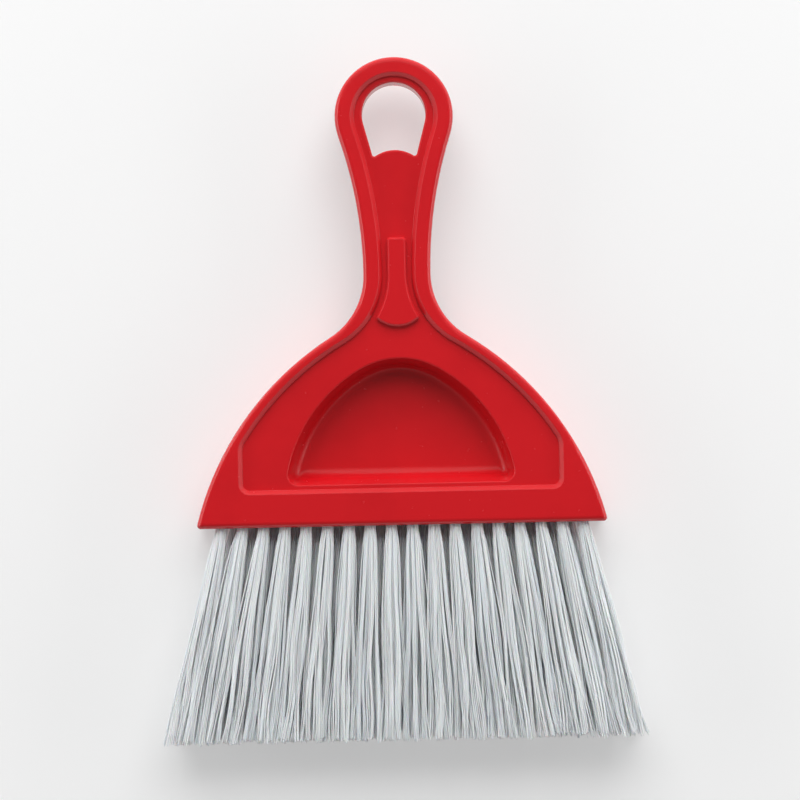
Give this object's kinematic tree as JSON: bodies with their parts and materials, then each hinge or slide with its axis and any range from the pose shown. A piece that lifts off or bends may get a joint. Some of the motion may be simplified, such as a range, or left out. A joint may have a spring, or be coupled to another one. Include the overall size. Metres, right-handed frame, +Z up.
{
  "type": "hand broom",
  "caption": "Fan-shaped hand broom with a looped hanging handle, a thumb rest, an arched dish in the moulded head and a wide fan of straight bristle tufts.",
  "frame": {"origin": "centre of the bounding box at the height of the surface that the broom lies on, back down", "axes": "+X across the head (the broom is mirror-symmetric about X = 0), +Y along the broom from the bristle tips to the hanging loop, +Z up out of the front face"},
  "size_m": [0.2014, 0.2896, 0.026],
  "materials": {
    "body": "glossy injection-moulded polypropylene, red all through",
    "bristle": "translucent white synthetic filament",
    "anchor": "flat galvanised wire"
  },
  "bodies": {
    "root": {"anchors_back": "anchor", "anchors_front": "anchor", "anchors_middle": "anchor", "body": "body", "tuft_back_01": "bristle", "tuft_back_02": "bristle", "tuft_back_03": "bristle", "tuft_back_04": "bristle", "tuft_back_05": "bristle", "tuft_back_06": "bristle", "tuft_back_07": "bristle", "tuft_back_08": "bristle", "tuft_back_09": "bristle", "tuft_back_10": "bristle", "tuft_back_11": "bristle", "tuft_back_12": "bristle", "tuft_back_13": "bristle", "tuft_back_14": "bristle", "tuft_back_15": "bristle", "tuft_back_16": "bristle", "tuft_back_17": "bristle", "tuft_back_18": "bristle", "tuft_front_01": "bristle", "tuft_front_02": "bristle", "tuft_front_03": "bristle", "tuft_front_04": "bristle", "tuft_front_05": "bristle", "tuft_front_06": "bristle", "tuft_front_07": "bristle", "tuft_front_08": "bristle", "tuft_front_09": "bristle", "tuft_front_10": "bristle", "tuft_front_11": "bristle", "tuft_front_12": "bristle", "tuft_front_13": "bristle", "tuft_front_14": "bristle", "tuft_front_15": "bristle", "tuft_front_16": "bristle", "tuft_front_17": "bristle", "tuft_front_18": "bristle", "tuft_middle_01": "bristle", "tuft_middle_02": "bristle", "tuft_middle_03": "bristle", "tuft_middle_04": "bristle", "tuft_middle_05": "bristle", "tuft_middle_06": "bristle", "tuft_middle_07": "bristle", "tuft_middle_08": "bristle", "tuft_middle_09": "bristle", "tuft_middle_10": "bristle", "tuft_middle_11": "bristle", "tuft_middle_12": "bristle", "tuft_middle_13": "bristle", "tuft_middle_14": "bristle", "tuft_middle_15": "bristle", "tuft_middle_16": "bristle", "tuft_middle_17": "bristle"}
  },
  "joints": []
}
